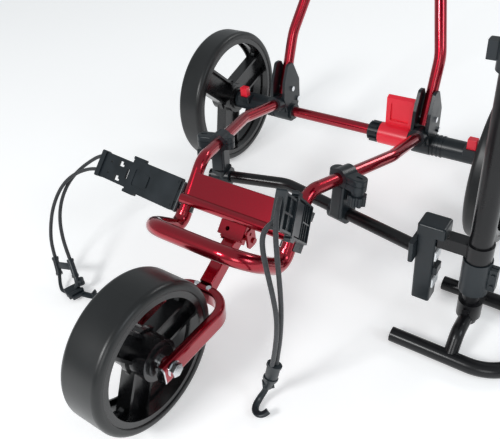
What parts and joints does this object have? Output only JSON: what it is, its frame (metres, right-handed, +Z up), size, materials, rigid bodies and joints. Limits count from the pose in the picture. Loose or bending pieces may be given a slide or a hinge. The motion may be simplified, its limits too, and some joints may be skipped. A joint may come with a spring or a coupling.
{
  "type": "golf push cart",
  "caption": "Folding golf bag push cart with a curved tube frame, bag loop, swinging bag arms with elastic cords, dished wheels, brake pedal and a clip-on post seat",
  "frame": {"origin": "on the ground directly under the middle of the rear axle", "axes": "+X across the cart towards the seat, -Y forward to the front wheel, +Z up"},
  "size_m": [0.9191, 1.1702, 0.9696],
  "materials": {
    "red_paint": "glossy candy paint",
    "black_paint": "satin",
    "black_plastic": "semi-gloss moulded",
    "bright_red_plastic": "glossy",
    "white_plastic": "smooth",
    "chrome": "polished",
    "tyre": "semi-gloss",
    "rim_plastic": "semi-gloss",
    "cord": "matt woven",
    "foam": "matt foam",
    "cover": "padded vinyl"
  },
  "bodies": {
    "frame": {"left_rail": "red_paint", "right_rail": "red_paint", "crossmember": "red_paint", "bag_loop": "red_paint", "strut_bracket": "red_paint", "axle_tube": "red_paint", "axle_bushes": "black_plastic", "axle_sleeves": "black_plastic", "wheel_pins": "chrome", "rear_brackets": "black_plastic", "pivot_bolts": "chrome", "arm_brackets": "black_plastic", "left_clamp_upper": "black_plastic", "right_clamp_upper": "black_plastic", "left_clamp_lower": "black_plastic", "right_clamp_lower": "black_plastic", "seat_beam": "black_paint", "seat_block": "black_plastic", "block_glides": "white_plastic", "seat_post": "black_paint", "post_collar": "black_plastic", "height_collar": "black_plastic"},
    "front_fork": {"strut": "red_paint", "fork": "red_paint", "fork_fittings": "chrome", "front_axle": "chrome"},
    "front_wheel": {"front_tyre": "tyre", "front_rim": "rim_plastic"},
    "left_rear_wheel": {"left_rear_tyre": "tyre", "left_rear_rim": "rim_plastic"},
    "right_rear_wheel": {"right_rear_tyre": "tyre", "right_rear_rim": "rim_plastic"},
    "latch": {"fold_latch": "red_paint"},
    "pedal": {"brake_pedal": "bright_red_plastic"},
    "left_button": {"left_release_button": "bright_red_plastic"},
    "right_button": {"right_release_button": "bright_red_plastic"},
    "upper_frame": {"left_upright": "red_paint", "right_upright": "red_paint", "upper_bracket": "black_plastic", "bag_cradle": "black_plastic", "handle_pivot": "chrome"},
    "handle": {"handle_tube": "red_paint", "handle_grip": "foam"},
    "handle_lock": {"handle_knob": "black_plastic"},
    "left_arm": {"left_arm_base": "black_plastic"},
    "left_arm_slider": {"left_arm_extension": "black_plastic", "left_cord": "cord", "left_cord_hook": "black_plastic"},
    "right_arm": {"right_arm_base": "black_plastic"},
    "right_arm_slider": {"right_arm_extension": "black_plastic", "right_cord": "cord", "right_cord_hook": "black_plastic"},
    "left_knob": {"left_clamp_knob": "black_plastic"},
    "right_knob": {"right_clamp_knob": "black_plastic"},
    "socket_latch": {"block_latch": "black_plastic"},
    "foot": {"foot_hoop": "black_paint", "foot_leg": "black_paint"},
    "seat_riser": {"inner_post": "black_paint"},
    "seat": {"seat_plate": "black_plastic", "seat_pad": "cover"}
  },
  "joints": [
    {"name": "front_wheel_spin", "type": "hinge", "parent": "front_fork", "child": "front_wheel", "pos_m": [0, -0.66, 0.12], "axis": [1, 0, 0], "continuous": true},
    {"name": "left_wheel_spin", "type": "hinge", "parent": "frame", "child": "left_rear_wheel", "pos_m": [-0.319, 0, 0.15], "axis": [1, 0, 0], "continuous": true},
    {"name": "right_wheel_spin", "type": "hinge", "parent": "frame", "child": "right_rear_wheel", "pos_m": [0.319, 0, 0.15], "axis": [1, 0, 0], "continuous": true},
    {"name": "strut_fold", "type": "hinge", "parent": "frame", "child": "front_fork", "pos_m": [0, -0.412, 0.157], "axis": [1, 0, 0], "range_deg": [0, 100]},
    {"name": "latch_swing", "type": "hinge", "parent": "frame", "child": "latch", "pos_m": [0.033, -0.412, 0.157], "axis": [1, 0, 0], "range_deg": [0, 20], "stiffness_Nm_per_rad": 0.3},
    {"name": "brake_press", "type": "hinge", "parent": "frame", "child": "pedal", "pos_m": [0.1, 0, 0.15], "axis": [1, 0, 0], "range_deg": [0, 30]},
    {"name": "left_release", "type": "slide", "parent": "frame", "child": "left_button", "axis": [0, 0, -1], "range_m": [0, 0.004], "stiffness_N_per_m": 800},
    {"name": "right_release", "type": "slide", "parent": "frame", "child": "right_button", "axis": [0, 0, -1], "range_m": [0, 0.004], "stiffness_N_per_m": 800},
    {"name": "upper_fold", "type": "hinge", "parent": "frame", "child": "upper_frame", "pos_m": [0, 0.002, 0.204], "axis": [1, 0, 0], "range_deg": [0, 80]},
    {"name": "handle_tilt", "type": "hinge", "parent": "upper_frame", "child": "handle", "pos_m": [0, 0.23019, 0.74157], "axis": [1, 0, 0], "range_deg": [-30, 60]},
    {"name": "handle_knob_turn", "type": "hinge", "parent": "upper_frame", "child": "handle_lock", "pos_m": [0.03, 0.23019, 0.74157], "axis": [1, 0, 0], "continuous": true},
    {"name": "left_arm_swing", "type": "hinge", "parent": "frame", "child": "left_arm", "pos_m": [-0.123, -0.40612, 0.18912], "axis": [0.0523, 0.7061, 0.7061], "range_deg": [0, 90]},
    {"name": "left_arm_reach", "type": "slide", "parent": "left_arm", "child": "left_arm_slider", "axis": [-0.9986, 0.037, 0.037], "range_m": [0, 0.025]},
    {"name": "right_arm_swing", "type": "hinge", "parent": "frame", "child": "right_arm", "pos_m": [0.125, -0.39056, 0.20468], "axis": [0.1736, -0.6964, -0.6964], "range_deg": [-77, 13]},
    {"name": "right_arm_reach", "type": "slide", "parent": "right_arm", "child": "right_arm_slider", "axis": [0.2215, -0.6614, 0.7166], "range_m": [0, 0.025]},
    {"name": "left_knob_turn", "type": "hinge", "parent": "frame", "child": "left_knob", "pos_m": [-0.15761, -0.28469, 0.19998], "axis": [-0.0423, 0.1581, 0.9865], "continuous": true},
    {"name": "right_knob_turn", "type": "hinge", "parent": "frame", "child": "right_knob", "pos_m": [0.15761, -0.28469, 0.19998], "axis": [0.0423, 0.1581, 0.9865], "continuous": true},
    {"name": "socket_latch_press", "type": "slide", "parent": "frame", "child": "socket_latch", "axis": [-1, 0, 0], "range_m": [0, 0.002], "stiffness_N_per_m": 500},
    {"name": "foot_drop", "type": "slide", "parent": "frame", "child": "foot", "axis": [0, 0, -1], "range_m": [0, 0.04]},
    {"name": "seat_rise", "type": "slide", "parent": "frame", "child": "seat_riser", "axis": [0, 0, 1], "range_m": [0, 0.08]},
    {"name": "seat_swivel", "type": "hinge", "parent": "seat_riser", "child": "seat", "pos_m": [0.362, -0.29, 0.63], "axis": [0, 0, 1], "continuous": true}
  ]
}
